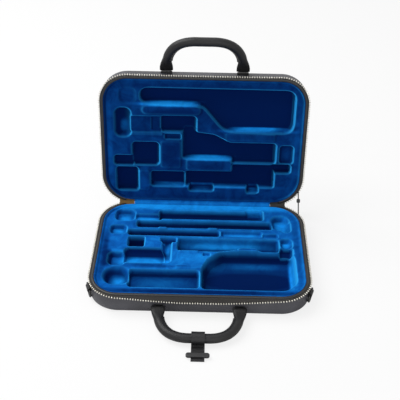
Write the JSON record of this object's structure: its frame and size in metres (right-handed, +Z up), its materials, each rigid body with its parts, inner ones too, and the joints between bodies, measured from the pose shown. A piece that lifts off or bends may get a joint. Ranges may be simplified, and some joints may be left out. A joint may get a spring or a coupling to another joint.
{
  "type": "instrument case with moulded lining",
  "caption": "Open hinged instrument case: leather-covered halves, moulded blue velvet trays, perimeter zipper, hinged grips, strap rings and a lid stay.",
  "frame": {"origin": "centre of the base shell's underside, under the middle of the closed case", "axes": "+Z up, +Y to the hinge at the rear, +X to the right seen from the front"},
  "size_m": [0.358, 0.3965, 0.3277],
  "materials": {
    "case_leather": "fine pebbled grain, satin",
    "strap_leather": "smooth satin with edge stitching",
    "velvet": "short-pile velvet",
    "zipper_tape": "woven, matte",
    "zipper_metal": "satin",
    "zipper_brass": "satin",
    "ring_metal": "black satin",
    "black_plastic": "matte",
    "cord": "braided, matte"
  },
  "bodies": {
    "base": {"base_handle_lug_left": "strap_leather", "base_handle_lug_right": "strap_leather", "base_handle_pin_left": "ring_metal", "base_handle_pin_right": "ring_metal", "base_rim_binding": "case_leather", "base_shell": "case_leather", "base_stay_anchor": "black_plastic", "base_tray": "velvet", "base_zipper_tape": "zipper_tape", "base_zipper_teeth": "zipper_metal", "hinge_spine": "case_leather", "lid_stay": "cord", "lining_strip": "velvet", "ring_loop_left": "strap_leather", "ring_loop_right": "strap_leather", "stay_clip": "black_plastic", "zipper_slider": "zipper_brass", "zipper_stop": "zipper_brass"},
    "lid": {"lid_handle_lug_left": "strap_leather", "lid_handle_lug_right": "strap_leather", "lid_handle_pin_left": "ring_metal", "lid_handle_pin_right": "ring_metal", "lid_rim_binding": "case_leather", "lid_shell": "case_leather", "lid_stay_anchor": "black_plastic", "lid_tray": "velvet", "lid_zipper_tape": "zipper_tape", "lid_zipper_teeth": "zipper_metal"},
    "base_handle": {"base_handle": "strap_leather"},
    "lid_handle": {"lid_handle": "strap_leather"},
    "wrap": {"handle_wrap": "strap_leather", "wrap_bar": "black_plastic"},
    "ring_left": {"side_ring_left": "ring_metal"},
    "ring_right": {"side_ring_right": "ring_metal"},
    "pull": {"slider_pull": "zipper_brass"}
  },
  "joints": [
    {"name": "lid_hinge", "type": "hinge", "parent": "base", "child": "lid", "pos_m": [0, 0.115, 0.034], "axis": [1, 0, 0], "range_deg": [0, 98.8], "deforming": ["hinge_spine", "lining_strip", "lid_stay", "stay_clip"]},
    {"name": "base_handle_swing", "type": "hinge", "parent": "base", "child": "base_handle", "pos_m": [0, -0.121, 0.015], "axis": [1, 0, 0], "range_deg": [-22, 0]},
    {"name": "lid_handle_swing", "type": "hinge", "parent": "lid", "child": "lid_handle", "pos_m": [0, 0.16988, 0.26432], "axis": [1, 0, 0], "range_deg": [-75, 0]},
    {"name": "wrap_turn", "type": "hinge", "parent": "base_handle", "child": "wrap", "pos_m": [0, -0.1783, 0.01025], "axis": [1, 0, 0], "range_deg": [-100, 0]},
    {"name": "ring_left_swing", "type": "hinge", "parent": "base", "child": "ring_left", "pos_m": [-0.1719, -0.08615, 0.019], "axis": [-0.3256, 0.9455, 0], "range_deg": [0, 110]},
    {"name": "ring_right_swing", "type": "hinge", "parent": "base", "child": "ring_right", "pos_m": [0.1719, -0.08615, 0.019], "axis": [0.3256, 0.9455, 0], "range_deg": [-110, 0]},
    {"name": "pull_swing", "type": "hinge", "parent": "base", "child": "pull", "pos_m": [-0.1399, 0.1175, 0.0318], "axis": [0, 1, 0], "range_deg": [0, 110]}
  ]
}
